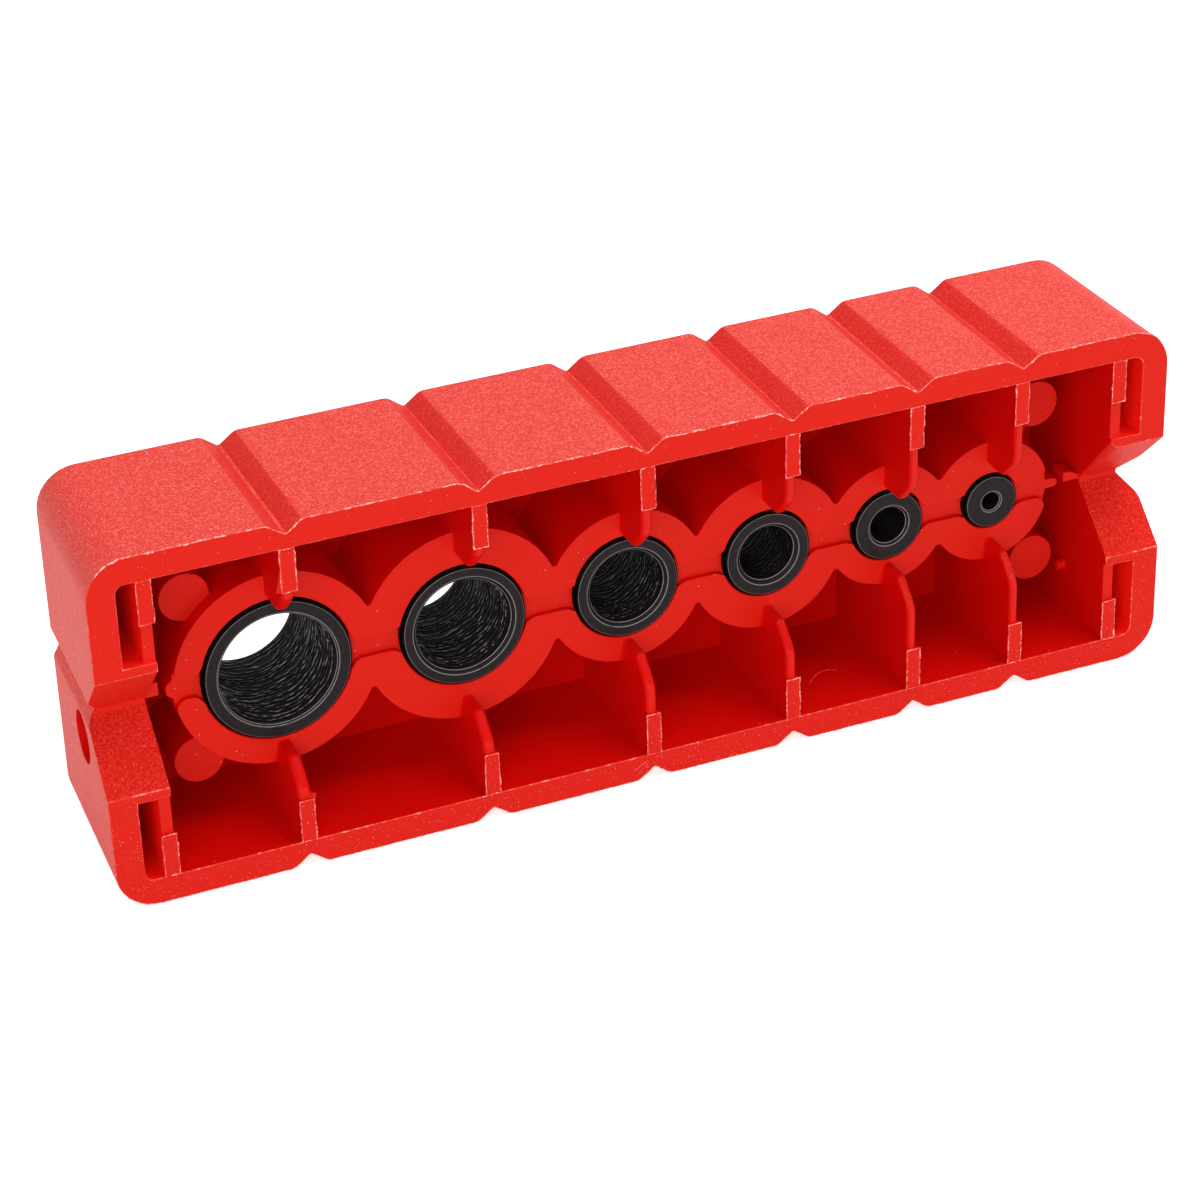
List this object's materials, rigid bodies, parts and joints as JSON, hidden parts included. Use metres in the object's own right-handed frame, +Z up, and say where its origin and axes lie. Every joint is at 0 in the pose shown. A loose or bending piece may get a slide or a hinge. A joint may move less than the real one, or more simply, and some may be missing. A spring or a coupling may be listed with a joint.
{
  "type": "handheld drill guide",
  "caption": "Handheld drill guide: a ribbed plastic block with a row of steel bushes of falling size and end notches for round stock.",
  "frame": {"origin": "centre of the footprint at the base: the guide stands on a long side", "axes": "+X along the row of bushes, from the largest to the smallest; +Y from the open ribbed side to the flat back, along the bores; +Z up"},
  "size_m": [0.114, 0.0204, 0.038],
  "materials": {
    "red_moulded_plastic": "fine spark texture outside, smooth inside",
    "black_oxide_steel": "turned and blackened"
  },
  "bodies": {
    "root": {"guide_body": "red_moulded_plastic", "drill_bush_1": "black_oxide_steel", "drill_bush_2": "black_oxide_steel", "drill_bush_3": "black_oxide_steel", "drill_bush_4": "black_oxide_steel", "drill_bush_5": "black_oxide_steel", "drill_bush_6": "black_oxide_steel"}
  },
  "joints": []
}
